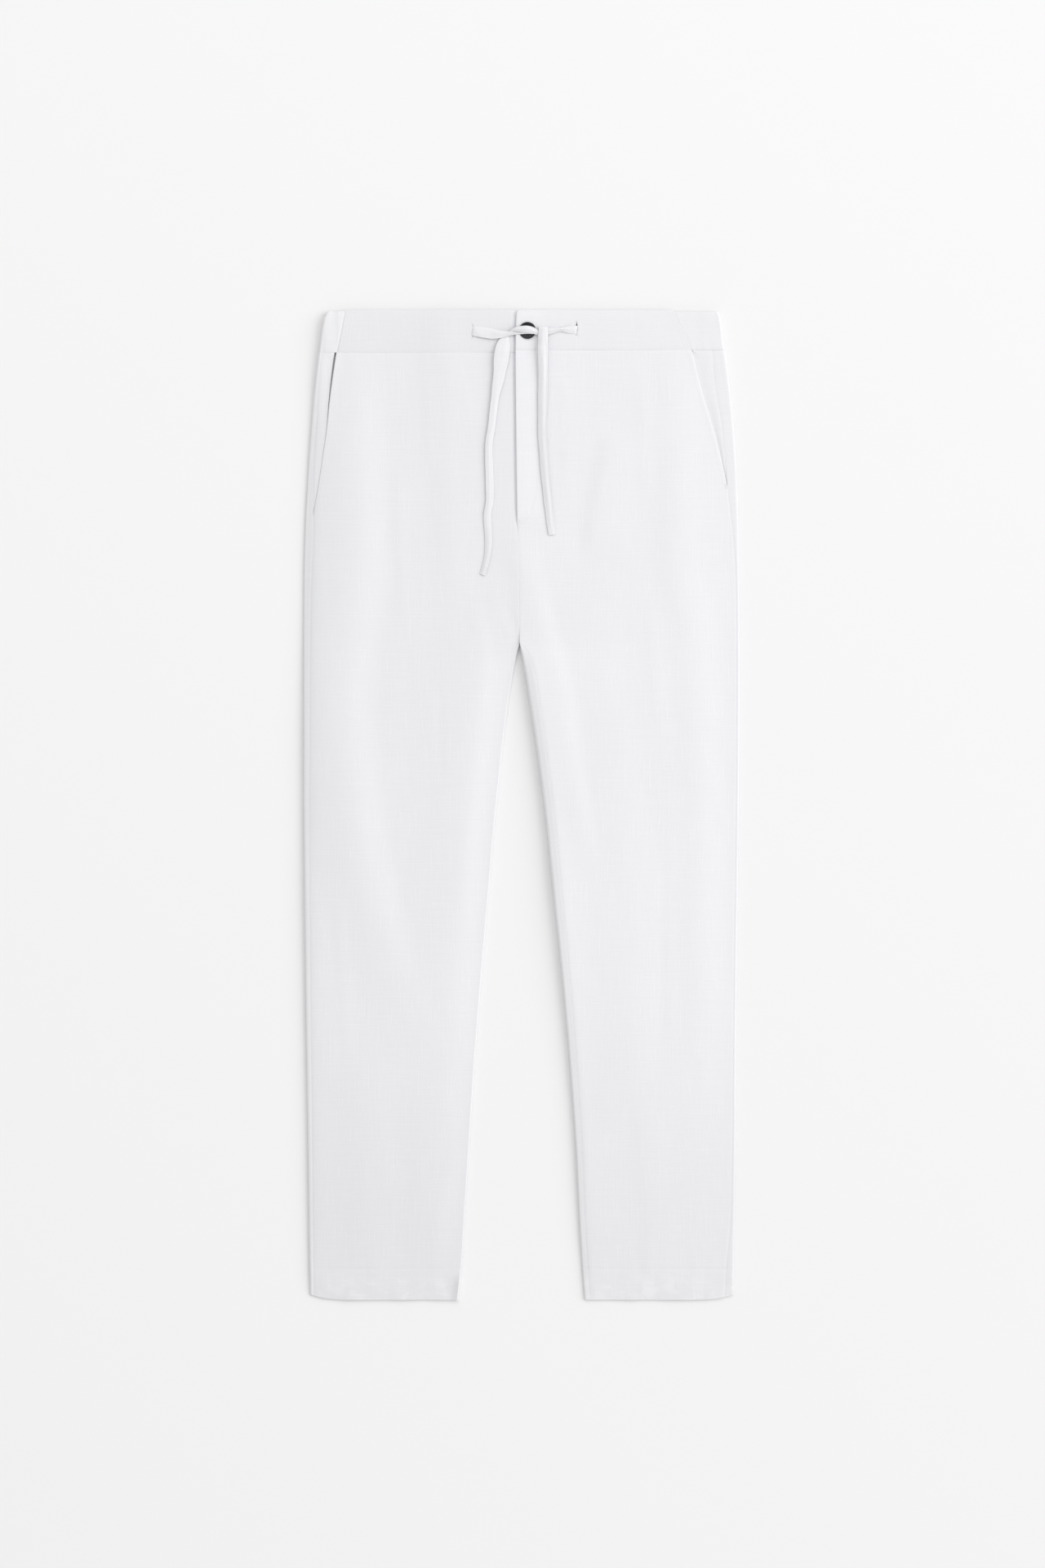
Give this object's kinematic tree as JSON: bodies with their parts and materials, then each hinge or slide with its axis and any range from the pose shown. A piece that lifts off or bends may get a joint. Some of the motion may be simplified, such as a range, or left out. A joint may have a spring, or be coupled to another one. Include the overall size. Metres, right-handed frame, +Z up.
{
  "type": "drawstring trousers",
  "caption": "Long straight linen trousers laid flat, with a waistband, slant pockets, a buttoned fly and a flat drawstring tied over the button.",
  "frame": {"origin": "middle of the outline, on the surface that the trousers lie on", "axes": "+X towards the wearer's left side, +Y towards the waist, +Z up from the surface"},
  "size_m": [0.4622, 1.049, 0.012],
  "materials": {
    "linen": "matte plain weave",
    "tape": "matte woven tape",
    "button": "satin"
  },
  "bodies": {
    "root": {"front_right": "linen", "front_left": "linen", "back_right": "linen", "back_left": "linen", "waistband_front_right": "linen", "waistband_front_left": "linen", "waistband_back": "linen", "pocket_facing_right": "linen", "pocket_facing_left": "linen", "fly_underlap": "linen", "button": "button", "drawstring_right": "tape", "drawstring_left": "tape"}
  },
  "joints": []
}
